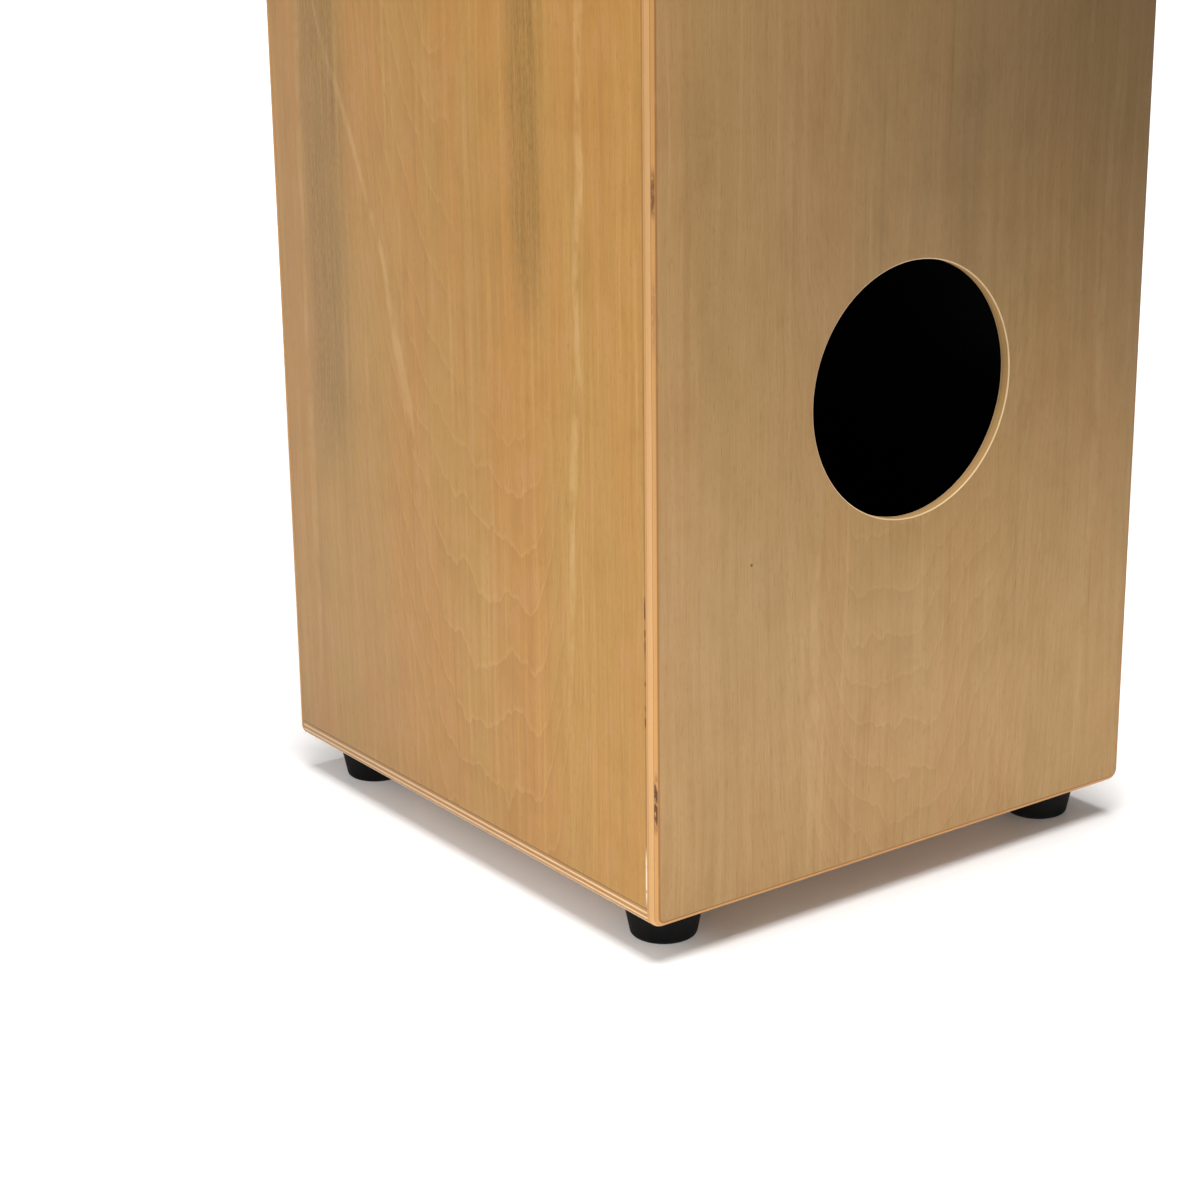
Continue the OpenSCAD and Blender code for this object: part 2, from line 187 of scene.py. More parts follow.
class Finish(Graph):
    """One material, with its Principled shader."""

    def __init__(self, name):
        self.material = bpy.data.materials.new(name)
        self.material.use_nodes = True
        super().__init__(self.material.node_tree)
        self.shader = self.tree.nodes["Principled BSDF"]

    def finish(self, colour, roughness, height=None, relief=0.0, **constants):
        """Feeds the shader: colour and roughness may vary, and the constants are set on its own sockets."""
        self.feed(self.shader.inputs["Base Color"], colour)
        self.feed(self.shader.inputs["Roughness"], roughness)
        if height is not None:
            bump = self.node("ShaderNodeBump", {"Height": height, "Distance": relief, "Strength": 1.0})
            self.feed(self.shader.inputs["Normal"], bump)
        for socket, value in constants.items():
            self.shader.inputs[socket.replace("_", " ")].default_value = value
        return self.material


# %% [markdown]
# ## Plywood
#
# Plywood is a stack of thin veneers whose grain turns a quarter from one to the next. Its face shows long
# grain, and its edge shows the stack. One rule gives both: everything is coloured by its depth below the
# panel's outer face. The face itself lies at depth 0, and where an edge is rounded over the depth grows along
# the curve, so the veneers come out as nested lines round the corners, as they do under a router.
#
# The face veneer's figure is peeled from the log, so it shows tall nested arches. They are drawn as level
# lines of a simple landscape: height along the grain, less a steep rise to either side of the arch's axis.
# Away from the axis the same lines crowd together into straight grain.

# %% The figure of a face veneer
FACE_DEPTH = 0.06 * MM


def veneer(finish, across, along, look):
    """The colour and relief of peeled birch, on a face where across and along are measured in metres."""
    seed = look["seed"]
    offset = across - look["axis"]
    pull = look["left"] + (look["right"] - look["left"]) * offset.above(-0.005, 0.005)
    drift = finish.noise(finish.vector(across * 9, along * 3, seed), 1, 2) - 0.5
    wander = finish.noise(finish.vector(across * 34, along * 8, seed + 2), 1, 3, 0.6) - 0.5
    level = along - pull * abs(offset) ** 3 + drift * 0.16 + wander * 0.055
    ring = (level / look["spacing"]).math("FRACT")
    late_wood = ring ** 3
    vein = 1 - abs(ring - 0.03).above(0.01, 0.09)
    low, high = look["arches"]
    shown = (1 - along.above(low, high)).math("MAXIMUM", abs(offset).above(0.03, 0.07) * 0.8)

    bend = finish.noise(finish.vector(across * 16, along * 5, seed + 5), 1, 2) - 0.5
    flow = across + bend * 0.010
    broad = finish.noise(finish.vector(flow * 26, along * 3.2, seed + 5), 1, 3, 0.55)
    streak = finish.noise(finish.vector(flow * 240, along * 4.5, seed + 8), 1, 3, 0.6)
    fibre = finish.noise(finish.vector(flow * 1150, along * 20, seed + 11), 1, 4, 0.7)
    mottle = finish.noise(finish.vector(flow * 70, along * 30, seed + 14), 1, 4, 0.65)
    fleck = finish.noise(finish.vector(flow * 900, along * 240, seed + 17), 1, 2, 0.6)
    dash = finish.noise(finish.vector(flow * 1900, along * 95, seed + 19), 1, 1)

    colour = finish.mix(look["warm"], look["gold"], broad.above(0.38, 0.62))
    colour = finish.mix(colour, look["pink"], mottle.above(0.48, 0.70) * 0.55)
    colour = finish.mix(colour, look["dark"], (1 - mottle).above(0.48, 0.74) * 0.38)
    colour = finish.mix(colour, look["light"], vein * shown * look["vein"])
    colour = finish.mix(colour, look["dark"], late_wood * shown * look["figure"])
    colour = finish.mix(colour, look["light"], streak.above(0.50, 0.76) * 0.42)
    colour = finish.mix(colour, look["dark"], (1 - streak).above(0.50, 0.78) * 0.45)
    colour = finish.mix(colour, look["light"], fibre.above(0.52, 0.80) * 0.38)
    colour = finish.mix(colour, look["dark"], (1 - fibre).above(0.50, 0.76) * 0.50)
    colour = finish.mix(colour, look["dark"], fleck.above(0.52, 0.76) * 0.34)
    colour = finish.mix(colour, look["pore"], dash.above(0.62, 0.76) * 0.38)
    for start, height, lean, curve, tall, strength in look["veins"]:
        rise = along - height
        line = start + rise * lean + rise ** 2 * curve + wander * 0.018 + bend * 0.016
        reach = (across - line).near(0, 3.2 * MM) * rise.above(-0.03, 0.05) * mottle.above(0.30, 0.62)
        reach = reach * (1 - rise.above(0.7 * tall, tall)) * strength
        colour = finish.mix(colour, look["pale"], reach)
    for centre, reach, low, high, strength in look["mineral"]:
        edge = (streak - 0.5) * 0.016 + (broad - 0.5) * 0.02
        mask = (across + edge).near(centre, reach) * along.above(low - 0.05, low + 0.03)
        mask = mask * (1 - along.above(high - 0.03, high + 0.05)) * strength
        colour = finish.mix(colour, look["olive"], mask * (fibre + fleck * 0.4).above(0.40, 0.95))
    return colour, fibre + streak * 0.6 - dash.above(0.60, 0.78) * 0.5


# %% [markdown]
# The edge of a panel is a chain of steps: at each glue line the colour changes to the next veneer's, and the
# line itself is drawn thin and dark. The depth is nudged by a slow noise first, because no veneer is even.

# %% The edge of a plywood stack
GLUE_LINE = 0.10 * MM


def ply_edge(finish, depth, length, look):
    """The colour of a panel's edge at a depth below its outer face."""
    wave = finish.noise(finish.vector(length * 18, depth * 60, look["seed"]), 1, 2) - 0.5
    deep = depth + wave * look["wave"]
    plies = look["plies"]
    colour = look["long_edge"]
    lines = 0.0
    for i, cut in enumerate(plies):
        edge_colour = look["cross_edge"] if i % 2 == 0 else look["long_edge"]
        colour = finish.mix(colour, edge_colour, deep.above(cut - 0.03 * MM, cut + 0.03 * MM))
        lines = deep.near(cut, 1.6 * GLUE_LINE) + lines
    pores = finish.noise(finish.vector(length * 900, depth * 2600, 3), 1, 2)
    run = finish.noise(finish.vector(length * 60, depth * 900, 9), 1, 3)
    under_face = depth.near(0.16 * MM, 0.20 * MM) * look["face_line"]
    colour = finish.mix(colour, look["glue"], lines.math("MINIMUM", 1.0) * 0.65)
    colour = finish.mix(colour, look["glue"], under_face)
    colour = finish.mix(colour, look["glue"], pores.above(0.55, 0.85) * 0.35)
    return finish.mix(colour, look["long_edge"], run.above(0.55, 0.80) * 0.4)


# %% [markdown]
# The wood's colours are shared by every panel, and a panel can change some and add marks of its own. Its veins
# and mineral streaks are lists, and the loops in the veneer function name each number in them. The dark inside
# of the box is painted shade: a thin film at the full depth of a panel is coloured near black and made matt.

# %% Wood colours
BIRCH = {
    "warm": (0.404, 0.199, 0.050),
    "gold": (0.387, 0.214, 0.056),
    "light": (0.510, 0.304, 0.103),
    "dark": (0.302, 0.145, 0.038),
    "pore": (0.204, 0.097, 0.026),
    "pink": (0.425, 0.220, 0.080),
    "pale": (0.561, 0.370, 0.165),
    "veins": [],
    "olive": (0.162, 0.099, 0.024),
    "long_edge": (0.50, 0.255, 0.085),
    "cross_edge": (0.54, 0.305, 0.122),
    "glue": (0.25, 0.115, 0.035),
    "vein": 0.20,
    "figure": 0.30,
    "face_line": 0.90,
    "wave": 0.22 * MM,
    "arches": (0.17, 0.28),
    "mineral": [],
    "seed": 1.0,
}
# painted shade: the near-black colour of the dark inside of the box
INSIDE_SHADE_BLACK = (0.006, 0.006, 0.006)
INSIDE_SHADE_FILM = 0.08 * MM


def even_plies(thickness, count):
    """The depths of the glue lines in a stack of equal veneers."""
    return [i * thickness / count for i in range(1, count)]


AXES = {"x": 0, "y": 1, "z": 2}


def plywood(name, node, depth_axis, outside, across, along, **changes):
    """A plywood finish for a panel, whose depth runs inwards from the outer face on the given side."""
    low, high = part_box(node)
    axis = AXES[depth_axis]
    thickness = (high - low)[axis]
    look = {**BIRCH, "plies": even_plies(thickness, 7), **changes}
    finish = Finish(name)
    place = finish.place()
    depth = high[axis] - place[axis] if outside > 0 else place[axis] - low[axis]
    length = place[2] if along == "z" else place[0] + place[1]
    face, relief = veneer(finish, place[AXES[across]], place[AXES[along]], look)
    edge = ply_edge(finish, depth, length, look)
    for mark in look.get("edge_marks", []):
        edge = mark(finish, edge, depth, place)
    colour = finish.mix(face, edge, depth.above(0.6 * FACE_DEPTH, 1.2 * FACE_DEPTH))
    for mark in look.get("face_marks", []):
        colour = mark(finish, colour, depth, place)
    # painted shade: a thin film at the full depth of the panel, inside the box, is made near black
    painted = depth.above(thickness - INSIDE_SHADE_FILM, thickness - 0.5 * INSIDE_SHADE_FILM)
    colour = finish.mix(colour, INSIDE_SHADE_BLACK, painted)
    roughness = 0.40 + relief * 0.06 + painted * 0.3
    print(name, "has", len(look["plies"]) + 1, "plies in", round(thickness / MM, 1), "mm")
    return finish.finish(
        colour, roughness, relief, 0.04 * MM,
        Coat_Weight=0.05, Coat_Roughness=0.25, Specular_IOR_Level=0.16,
    )


# %% [markdown]
# ## Modelling helpers
#
# An edit-mode operator acts on all that is selected, so a helper leaves nothing selected, picks the faces or
# edges that pass a test of place and direction, and enters edit mode. Another one closes a piece: it applies
# the object's transform, so that its place is in its mesh, shades it smooth up to an angle, gives it its
# finish, and ties it to its body.

# %% Helpers
def select_only(piece):
    bpy.ops.object.select_all(action="DESELECT")
    piece.select_set(True)
    bpy.context.view_layer.objects.active = piece


def pick(piece, kind, test):
    """Enters edit mode with only those faces or edges selected whose centre and direction pass the test."""
    select_only(piece)
    bpy.ops.object.mode_set(mode="EDIT")
    bpy.ops.mesh.select_mode(type=kind)
    bpy.ops.mesh.select_all(action="DESELECT")
    bpy.ops.object.mode_set(mode="OBJECT")
    mesh = piece.data
    if kind == "FACE":
        for face in mesh.polygons:
            face.select = test(face.center, face.normal)
    else:
        for edge in mesh.edges:
            first, second = (mesh.vertices[v].co for v in edge.vertices)
            edge.select = test((first + second) / 2, (second - first).normalized())
    bpy.ops.object.mode_set(mode="EDIT")


def leave_edit():
    bpy.ops.object.mode_set(mode="OBJECT")


def block_between(name, low, high):
    """A box piece between two corners, with its place in its mesh."""
    bpy.ops.object.select_all(action="DESELECT")
    bpy.ops.mesh.primitive_cube_add(size=1, location=(low + high) / 2, scale=high - low)
    piece = bpy.context.object
    piece.name = name
    bpy.ops.object.transform_apply(location=True, rotation=True, scale=True)
    return piece


def round_edges(piece, radius, segments, test):
    pick(piece, "EDGE", test)
    bpy.ops.mesh.bevel(offset=radius, offset_type="OFFSET", segments=segments, profile=0.5)
    leave_edit()


def cut_with(piece, cutter):
    """Takes one closed shape out of another with a Boolean modifier, and removes the cutter."""
    select_only(piece)
    bpy.ops.object.modifier_add(type="BOOLEAN")
    modifier = piece.modifiers[-1]
    modifier.operation = "DIFFERENCE"
    modifier.solver = "EXACT"
    modifier.object = cutter
    bpy.ops.object.modifier_apply(modifier=modifier.name)
    bpy.data.objects.remove(cutter)


def join(pieces, name):
    bpy.ops.object.select_all(action="DESELECT")
    for piece in pieces:
        piece.select_set(True)
    bpy.context.view_layer.objects.active = pieces[0]
    if len(pieces) > 1:
        bpy.ops.object.join()
    pieces[0].name = name
    return pieces[0]


SMOOTH_ANGLE = math.radians(32)


def close_piece(piece, material, slot, body, *nodes):
    select_only(piece)
    bpy.ops.object.transform_apply(location=True, rotation=True, scale=True)
    bpy.ops.object.shade_smooth_by_angle(angle=SMOOTH_ANGLE)
    piece.data.materials.clear()
    piece.data.materials.append(material)
    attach(piece, body)
    if nodes:
        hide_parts(*nodes)
    print(piece.name, "has", len(piece.data.polygons), "faces")


# %% [markdown]
# ## The rear panel
#
# The rear panel is glued over the open back of the box, cut flush, and rounded over with a router. It starts
# as a box. Bevelling the four short edges rounds its outline, and bevelling the outline of the outer face
# makes the router's round-over. The sound hole is cut by a cylinder and its rim is eased.

# %% Rear panel
EASE = 0.25 * MM
ROUND_STEPS = 8
rear_low, rear_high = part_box("rear_panel")
OUTLINE_R = 6 * MM
REAR_ROUND = 4 * MM
HOLE_R = 60 * MM
hole_z = 246 * MM
hole_middle = Vector((0, (rear_low.y + rear_high.y) / 2, hole_z))


def at(value, target, slack=0.02 * MM):
    return abs(value - target) < slack


def along_axis(direction, axis):
    return abs(direction[axis]) > 0.99


rear_panel = block_between("rear_panel_birch", rear_low, rear_high)
round_edges(rear_panel, OUTLINE_R, ROUND_STEPS, lambda centre, way: along_axis(way, 1))
round_edges(rear_panel, REAR_ROUND, ROUND_STEPS, lambda centre, way: at(centre.y, rear_high.y))
round_edges(rear_panel, EASE, 2, lambda centre, way: at(centre.y, rear_low.y))

bpy.ops.object.select_all(action="DESELECT")
bpy.ops.mesh.primitive_cylinder_add(
    vertices=160, radius=HOLE_R, depth=0.03, location=hole_middle, rotation=(math.radians(90), 0, 0)
)
cut_with(rear_panel, bpy.context.object)


def on_rim(centre, y):
    radius = math.hypot(centre.x, centre.z - hole_z)
    return at(radius, HOLE_R, 0.1 * MM) and at(centre.y, y)


round_edges(rear_panel, 0.7 * MM, 3, lambda centre, way: on_rim(centre, rear_high.y))
round_edges(rear_panel, 0.4 * MM, 2, lambda centre, way: on_rim(centre, rear_low.y))

# %% [markdown]
# The rear panel has three veneers. Where a knot or a gap in one of them meets the round-over, its edge shows
# a dark brown stretch, so a mark function darkens the outer veneer at a few heights on the left edge. The
# face has one small pin hole. Painted shade makes the face greyer and darker towards its upper right, and the
# rims of the sound hole carry a painted highlight.

# %% Rear panel's finish
STAIN = (0.085, 0.030, 0.012)


def stained_stretches(finish, colour, depth, place):
    x, y, z = place
    ragged = finish.noise(finish.vector(z * 240, depth * 1500, 4), 1, 3)
    left_edge = x.above(0.146, 0.148)
    for centre, reach, strength in ((0.351, 0.013, 0.75), (0.080, 0.017, 0.95), (0.300, 0.02, 0.25)):
        inside = depth.above(0.25 * MM, 0.45 * MM) * (1 - depth.above(1.2 * MM, 1.4 * MM))
        mask = inside * z.near(centre, reach) * ragged.above(0.30, 0.50) * left_edge * strength
        colour = finish.mix(colour, STAIN, mask)
    return colour


def painted_shade_upper_right(finish, colour, depth, place):
    """Painted shade: the veneer is made greyer and darker towards the upper right of the panel."""
    x, y, z = place
    # painted shade, growing towards the top and towards the right
    shade = z.above(0.03, 0.42) * (0.24 - x).above(0.0, 0.40)
    return finish.mix(colour, finish.mix(colour, (0.38, 0.37, 0.34), 1.0, "MULTIPLY"), shade)


def hole_wall_rim_highlight(finish, colour, depth, place):
    """The sanded wall of the sound hole is paler, and each eased rim carries a pale line of painted highlight.
    """
    x, y, z = place
    reach = (x ** 2 + (z - hole_z) ** 2) ** 0.5
    wall = 1 - reach.above(HOLE_R + 0.8 * MM, HOLE_R + 1.2 * MM)
    rim = depth.near(0.30 * MM, 0.45 * MM) + depth.near(rear_high.y - rear_low.y - 0.3 * MM, 0.4 * MM)
    colour = finish.mix(colour, (0.60, 0.38, 0.16), wall * 0.55)
    # painted highlight: both eased rims of the hole are lightened to a pale line
    return finish.mix(colour, (0.86, 0.66, 0.40), wall * rim * 0.75)


def pin_hole(finish, colour, depth, place):
    x, y, z = place
    reach = ((x - 0.095) ** 2 + (z - 0.181) ** 2) ** 0.5
    return finish.mix(colour, STAIN, (1 - reach.above(0.4 * MM, 0.9 * MM)) * 0.9)


rear_finish = plywood(
    "rear birch plywood", "rear_panel", "y", 1, "x", "z",
    axis=-0.004, left=300, right=420, spacing=0.024, seed=21.0,
    plies=[1.35 * MM, 4.15 * MM], figure=0.26, vein=0.15,
    warm=(0.357, 0.207, 0.080), gold=(0.348, 0.210, 0.082), light=(0.435, 0.274, 0.119),
    dark=(0.262, 0.145, 0.049), olive=(0.197, 0.124, 0.045),
    pink=(0.377, 0.228, 0.098), pale=(0.459, 0.307, 0.148), arches=(0.14, 0.26),
    veins=[(-0.120, 0.05, 0.02, -0.1, 0.5, 0.25), (0.06, 0.02, -0.03, 0.1, 0.22, 0.3)],
    mineral=[(-0.030, 0.012, 0.20, 0.40, 0.35), (0.118, 0.014, 0.25, 0.40, 0.3)],
    edge_marks=[stained_stretches, hole_wall_rim_highlight], face_marks=[painted_shade_upper_right, pin_hole],
)
close_piece(rear_panel, rear_finish, "rear_veneer", "box", "rear_panel")

# %% [markdown]
# ## Sides, seat and bottom
#
# The sides stand between the seat and the bottom. A side is a box with its arrises just broken, so that a
# joint shows as a fine shadow line. The seat and the bottom run over the sides, and their two long outer
# edges carry the box's round-over. The bottom has two wells through which a hex key reaches the tuning bolts.

# %% Side, seat and bottom panels
left_side = block_between("left_side_birch", *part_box("left_side_panel"))
round_edges(left_side, EASE, 2, lambda centre, way: True)
right_side = block_between("right_side_birch", *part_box("right_side_panel"))
round_edges(right_side, EASE, 2, lambda centre, way: True)


def lid_panel(name, node, outer_z):
    """A panel between the front and rear, whose two long edges at outer_z are rounded."""
    low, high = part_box(node)
    piece = block_between(name, low, high)
    round_edges(
        piece, OUTLINE_R, ROUND_STEPS, lambda centre, way: along_axis(way, 1) and at(centre.z, outer_z)
    )
    round_edges(piece, EASE, 2, lambda centre, way: at(centre.y, low.y) or at(centre.y, high.y))
    return piece


seat_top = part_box("top_panel")[1].z
bottom_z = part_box("bottom_panel")[0].z
seat = lid_panel("seat_birch", "top_panel", seat_top)
bottom = lid_panel("bottom_birch", "bottom_panel", bottom_z)

WELL_R = 6.6 * MM
bolt_nodes = {"left": "left_tuning_bolt", "right": "right_tuning_bolt"}


def middle_of(node):
    low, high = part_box(node)
    return (low + high) / 2


def from_axis(spot, centre):
    """The distance of a spot from an upright axis."""
    return math.hypot(spot.x - centre.x, spot.y - centre.y)


for side, node in bolt_nodes.items():
    centre = middle_of(node)
    bpy.ops.object.select_all(action="DESELECT")
    bpy.ops.mesh.primitive_cylinder_add(
        vertices=48, radius=WELL_R, depth=0.03, location=(centre.x, centre.y, bottom_z)
    )
    cut_with(bottom, bpy.context.object)
    round_edges(
        bottom, 0.4 * MM, 2,
        lambda spot, way: at(from_axis(spot, centre), WELL_R, 0.1 * MM) and at(spot.z, bottom_z),
    )

# %% [markdown]
# Where the rear panel meets a side, the joint has small gaps: some are dark, and one near the floor is
# stopped with pale filler. They lie in the last millimetre of the side's face.

# %% Finishes of the sides, seat and bottom
FILLER = (0.80, 0.68, 0.48)


def rear_joint(finish, colour, depth, place):
    x, y, z = place
    edge_y = rear_low.y
    ragged = finish.noise(finish.vector(z * 130, 0.5, 6), 1, 3)
    close = y.above(edge_y - 1.1 * MM, edge_y - 0.5 * MM)
    gaps = z.near(0.163, 0.020) + z.near(0.137, 0.005) + z.near(0.120, 0.007)
    colour = finish.mix(colour, BIRCH["glue"], close * (0.50 + ragged.above(0.5, 0.7) * 0.3))
    colour = finish.mix(colour, STAIN, close * gaps * ragged.above(0.38, 0.50) * 0.9)
    return finish.mix(colour, FILLER, close * z.near(0.043, 0.017) * ragged.above(0.30, 0.45) * 0.9)


left_finish = plywood(
    "left side birch plywood", "left_side_panel", "x", 1, "y", "z",
    axis=0.055, left=110, right=1500, spacing=0.034, seed=4.0,
    mineral=[(-0.108, 0.028, 0.20, 0.50, 0.75), (0.066, 0.018, 0.30, 0.50, 0.75)],
    veins=[
        (-0.027, 0.172, -0.14, -0.9, 0.35, 0.36), (0.098, 0.12, 0.06, -0.1, 0.5, 0.42),
        (-0.135, 0.05, 0.02, 0.0, 0.5, 0.25),
    ],
    face_marks=[rear_joint],
)
right_finish = plywood(
    "right side birch plywood", "right_side_panel", "x", -1, "y", "z",
    axis=-0.03, left=260, right=180, spacing=0.030, seed=33.0,
    mineral=[(0.090, 0.016, 0.10, 0.45, 0.6)], face_marks=[rear_joint],
)
seat_finish = plywood(
    "seat birch plywood", "top_panel", "z", 1, "x", "y",
    axis=0.02, left=320, right=260, spacing=0.028, seed=47.0, plies=even_plies(12 * MM, 9),
    mineral=[(-0.07, 0.014, -0.2, 0.05, 0.5)],
)
bottom_finish = plywood(
    "bottom birch plywood", "bottom_panel", "z", -1, "x", "y",
    axis=-0.04, left=300, right=300, spacing=0.030, seed=58.0,
    long_edge=(0.36, 0.20, 0.085), cross_edge=(0.70, 0.45, 0.23),
)
close_piece(left_side, left_finish, "side_veneer", "box", "left_side_panel")
close_piece(right_side, right_finish, "side_veneer", "box", "right_side_panel")
close_piece(seat, seat_finish, "side_veneer", "box", "top_panel")
close_piece(bottom, bottom_finish, "side_veneer", "box", "bottom_panel")

# %% [markdown]
# ## Feet
#
# Each foot is one rubber moulding. A cylinder is drawn in at the floor end to make the cone, its rim is
# rounded, and the floor face is inset and pushed up to make the recess for the screw.

# %% Rubber feet
FOOT_TOP_R = 19.4 * MM
FOOT_FLOOR_R = 15.6 * MM
RECESS_R = 6.5 * MM
RECESS_H = 8 * MM
foot_nodes = ["front_left_foot", "front_right_foot", "rear_left_foot", "rear_right_foot"]
foot_low, foot_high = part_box(foot_nodes[0])
foot_h = foot_high.z - foot_low.z


def rubber_foot(name, centre):
    bpy.ops.object.select_all(action="DESELECT")
    bpy.ops.mesh.primitive_cylinder_add(
        vertices=72, radius=FOOT_TOP_R, depth=foot_h, location=(centre.x, centre.y, foot_h / 2)
    )
    foot = bpy.context.object
    foot.name = name
    bpy.ops.object.transform_apply(location=True, rotation=True, scale=True)
    pick(foot, "FACE", lambda spot, normal: normal.z < -0.9)
    taper = FOOT_FLOOR_R / FOOT_TOP_R
    bpy.ops.transform.resize(value=(taper, taper, 1), center_override=(centre.x, centre.y, 0))
    bpy.ops.mesh.inset(thickness=FOOT_FLOOR_R - RECESS_R)
    bpy.ops.mesh.extrude_region_move(TRANSFORM_OT_translate={"value": (0, 0, RECESS_H)})
    leave_edit()
    for z, radius, rim, steps in ((0, FOOT_FLOOR_R, 1.5 * MM, 5), (foot_h, FOOT_TOP_R, 0.5 * MM, 3)):
        outermost = radius - 0.2 * MM
        round_edges(
            foot, rim, steps, lambda spot, way: at(spot.z, z) and from_axis(spot, centre) > outermost
        )
    return foot


feet = {node: rubber_foot(node.replace("foot", "rubber_foot"), middle_of(node)) for node in foot_nodes}

# %% [markdown]
# Moulded rubber is matt and nearly black, with a fine pebble from the mould and grey dust where it meets the
# floor.

# %% Rubber
rubber = Finish("moulded rubber")
rx, ry, rz = rubber.place()
grit = rubber.noise(rubber.vector(rx, ry, rz), 900, 3)
cloud = rubber.noise(rubber.vector(rx, ry, rz), 90, 3)
dust = (1 - rz.above(0.3 * MM, 2.5 * MM)) * cloud.above(0.35, 0.7)
rubber_colour = rubber.mix((0.0018, 0.0018, 0.0020), (0.0055, 0.0052, 0.0050), cloud)
rubber_colour = rubber.mix(rubber_colour, (0.03, 0.028, 0.026), dust * 0.4)
rubber_finish = rubber.finish(
    rubber_colour, 0.66 + grit * 0.16, grit, 0.05 * MM, Specular_IOR_Level=0.12
)
for node, foot in feet.items():
    close_piece(foot, rubber_finish, "foot_rubber", "box", node)

# %% [markdown]
# ## The playing panel
#
# The playing panel is a thin, hard sheet held by countersunk screws. Its outline is rounded like the rear
# panel's, and its outer arris is eased where the hands strike it. Each screw's place is cut by a cone for the
# head and a cylinder for the shank.

# %% Playing panel
front_low, front_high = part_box("playing_panel")
PLAYING_EASE = 1.5 * MM
SCREW_HEAD_R = 3.6 * MM
SCREW_HEAD_H = 2.1 * MM
SHANK_R = 1.75 * MM
SCREW_ROWS = [35.5 * MM + 85 * MM * i for i in range(6)]
SCREW_COLUMN = 133.5 * MM

playing_places = [(side * SCREW_COLUMN, z) for side in (-1, 1) for z in SCREW_ROWS]
playing_places += [(x * MM, z) for x in (-66.75, 0, 66.75) for z in (SCREW_ROWS[0], SCREW_ROWS[-1])]

playing_panel = block_between("playing_panel_birch", front_low, front_high)
round_edges(playing_panel, OUTLINE_R, ROUND_STEPS, lambda centre, way: along_axis(way, 1))
round_edges(playing_panel, PLAYING_EASE, 5, lambda centre, way: at(centre.y, front_low.y))
round_edges(playing_panel, EASE, 2, lambda centre, way: at(centre.y, front_high.y))

CONE_LIFT = 1 * MM  # how far a cone stands clear of the face it cuts
for x, z in playing_places:
    bpy.ops.object.select_all(action="DESELECT")
    bpy.ops.mesh.primitive_cone_add(
        vertices=32, radius1=SCREW_HEAD_R + CONE_LIFT, radius2=SHANK_R, depth=SCREW_HEAD_H + CONE_LIFT,
        location=(x, front_low.y + (SCREW_HEAD_H - CONE_LIFT) / 2, z), rotation=(math.radians(-90), 0, 0),
    )
    cut_with(playing_panel, bpy.context.object)
    bpy.ops.mesh.primitive_cylinder_add(
        vertices=32, radius=SHANK_R + 0.01 * MM, depth=10 * MM,
        location=(x, front_low.y + SCREW_HEAD_H + 4.9 * MM, z), rotation=(math.radians(-90), 0, 0),
    )
    cut_with(playing_panel, bpy.context.object)
print("countersinks:", len(playing_places))

playing_finish = plywood(
    "playing panel birch plywood", "playing_panel", "y", -1, "x", "z",
    axis=0.015, left=260, right=210, spacing=0.026, seed=71.0, plies=even_plies(3 * MM, 3),
    warm=(0.56, 0.35, 0.16), gold=(0.55, 0.36, 0.165), light=(0.68, 0.47, 0.25), figure=0.30,
    mineral=[(0.060, 0.012, 0.15, 0.40, 0.35)],
)
close_piece(playing_panel, playing_finish, "playing_veneer", "box", "playing_panel")

# %% [markdown]
# ## Screws
#
# A wood screw here is a turned head with a cross recess, on a threaded shank. The head is a cone or a pan cut
# by two crossed tapered bars. The thread is a small triangle stood beside the shank and wound up it by the
# Screw modifier, along the path that a thread-cutting tool takes. One screw is made upright at the origin
# with its head at the bottom, and then it is copied and turned to its places.

# %% A wood screw
def thread(name, radius, ridge, pitch, low, high, steps=12):
    """A ridge wound round the Z axis from low to high."""
    bpy.ops.object.select_all(action="DESELECT")
    turns = int((high - low) / pitch) - 1
    bpy.ops.mesh.primitive_circle_add(
        vertices=3, radius=ridge, location=(radius, 0, low + pitch / 2), rotation=(math.radians(90), 0, 0)
    )
    piece = bpy.context.object
    piece.name = name
    bpy.ops.object.transform_apply(location=True, rotation=True, scale=True)
    bpy.ops.object.modifier_add(type="SCREW")
    wind = piece.modifiers[-1]
    wind.axis = "Z"
    wind.angle = 2 * math.pi
    wind.screw_offset = pitch
    wind.iterations = turns
    wind.steps = steps
    wind.render_steps = steps
    bpy.ops.object.modifier_apply(modifier=wind.name)
    pick(piece, "FACE", lambda spot, normal: True)
    bpy.ops.mesh.normals_make_consistent(inside=False)
    leave_edit()
    return piece


